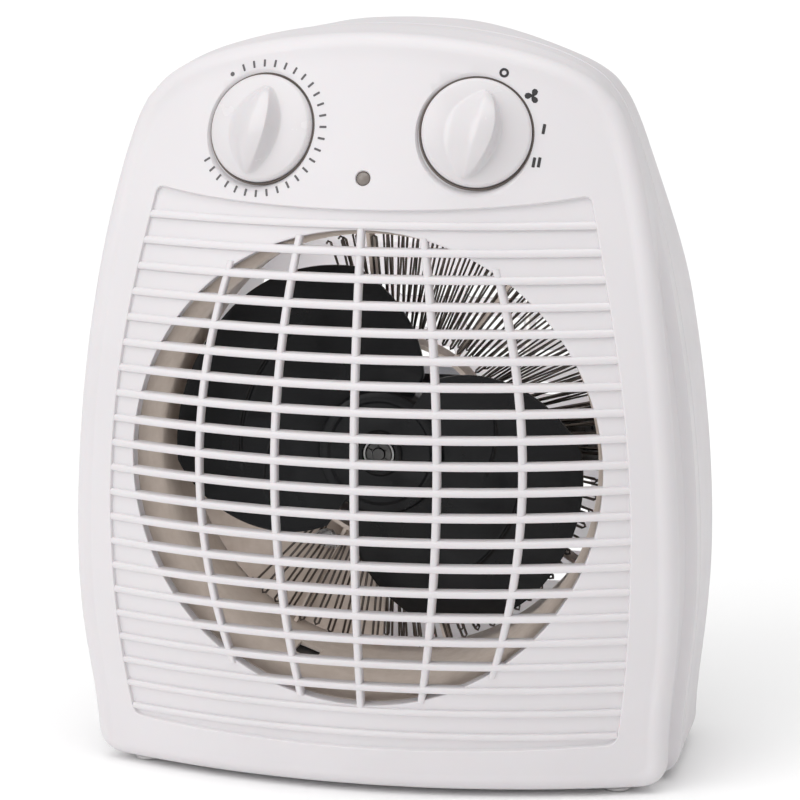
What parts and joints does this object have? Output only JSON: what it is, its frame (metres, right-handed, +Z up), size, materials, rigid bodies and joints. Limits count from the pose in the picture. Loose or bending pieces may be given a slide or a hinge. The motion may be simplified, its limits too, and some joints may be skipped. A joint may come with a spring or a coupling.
{
  "type": "fan convector heater",
  "caption": "Upright fan heater with a bowed white housing, a round barred grille over a black fan, and two rotary knobs above it.",
  "frame": {"origin": "on the floor, under the middle of the bounding box", "axes": "+Z up, -Y towards the front with the grille and the knobs, +X to the right as seen from the front"},
  "size_m": [0.2124, 0.1198, 0.2537],
  "materials": {
    "white_plastic": "satin gloss, cool white",
    "pale_rubber": "matt, pale grey",
    "black_plastic": "glossy black",
    "dark_plastic": "matt black",
    "rubber": "matt black",
    "lamp_amber": "smoked amber lens",
    "ceramic": "unglazed, off-white",
    "mica": "pressed mica board, beige",
    "resistance_wire": "bright nickel-chrome wire",
    "lamination": "stacked laminations",
    "copper": "varnished copper winding",
    "brass": "plain brass",
    "lead_insulation": "silicone insulation, grey white",
    "steel": "zinc-plated steel"
  },
  "bodies": {
    "housing": {"air_duct": "mica", "bridge_screw_left": "steel", "bridge_screw_right": "steel", "cord_inlet_bush": "rubber", "duct_screw_1": "steel", "duct_screw_2": "steel", "duct_screw_3": "steel", "duct_screw_4": "steel", "element_frame": "mica", "foot_front_left": "pale_rubber", "foot_front_right": "pale_rubber", "foot_rear_left": "pale_rubber", "foot_rear_right": "pale_rubber", "front_shell": "white_plastic", "heater_wire_high": "resistance_wire", "heater_wire_low": "resistance_wire", "housing_screw_bottom_left": "steel", "housing_screw_bottom_right": "steel", "housing_screw_top_left": "steel", "housing_screw_top_right": "steel", "lead_heat_high": "lead_insulation", "lead_heat_low": "lead_insulation", "lead_live": "lead_insulation", "lead_motor": "lead_insulation", "lead_neutral": "lead_insulation", "lead_switched": "lead_insulation", "motor_bearing_front": "brass", "motor_bearing_rear": "brass", "motor_bracket_front": "steel", "motor_bracket_rear": "steel", "motor_bridge": "steel", "motor_coil": "copper", "motor_screw_left": "steel", "motor_screw_right": "steel", "motor_spacer_left": "brass", "motor_spacer_right": "brass", "motor_stator": "lamination", "pilot_lamp_lens": "lamp_amber", "pilot_lamp_neon": "ceramic", "rear_shell": "white_plastic", "selector_switch_body": "dark_plastic", "selector_terminal_1": "brass", "selector_terminal_2": "brass", "selector_terminal_3": "brass", "selector_terminal_4": "brass", "terminal_block": "ceramic", "thermal_cutout": "dark_plastic", "thermal_fuse": "steel", "thermostat_bimetal": "brass", "thermostat_bush": "brass", "thermostat_ceramic": "ceramic", "thermostat_frame": "steel"},
    "fan": {"fan_blade": "black_plastic", "fan_clip": "steel", "motor_shaft": "steel", "motor_rotor": "lamination"},
    "thermostat_turn": {"thermostat_knob": "white_plastic", "thermostat_spindle": "steel"},
    "selector_turn": {"selector_knob": "white_plastic", "selector_spindle": "steel"}
  },
  "joints": [
    {"name": "fan_spin", "type": "hinge", "parent": "housing", "child": "fan", "pos_m": [0, -0.02, 0.1113], "axis": [0, 1, 0], "continuous": true},
    {"name": "thermostat_turn", "type": "hinge", "parent": "housing", "child": "thermostat_turn", "pos_m": [-0.0357, -0.03526, 0.2214], "axis": [-0.1742, -0.942, 0.2868], "range_deg": [-232, 46]},
    {"name": "selector_turn", "type": "hinge", "parent": "housing", "child": "selector_turn", "pos_m": [0.0357, -0.03526, 0.2214], "axis": [0.1742, -0.942, 0.2868], "range_deg": [-96, 0]}
  ]
}
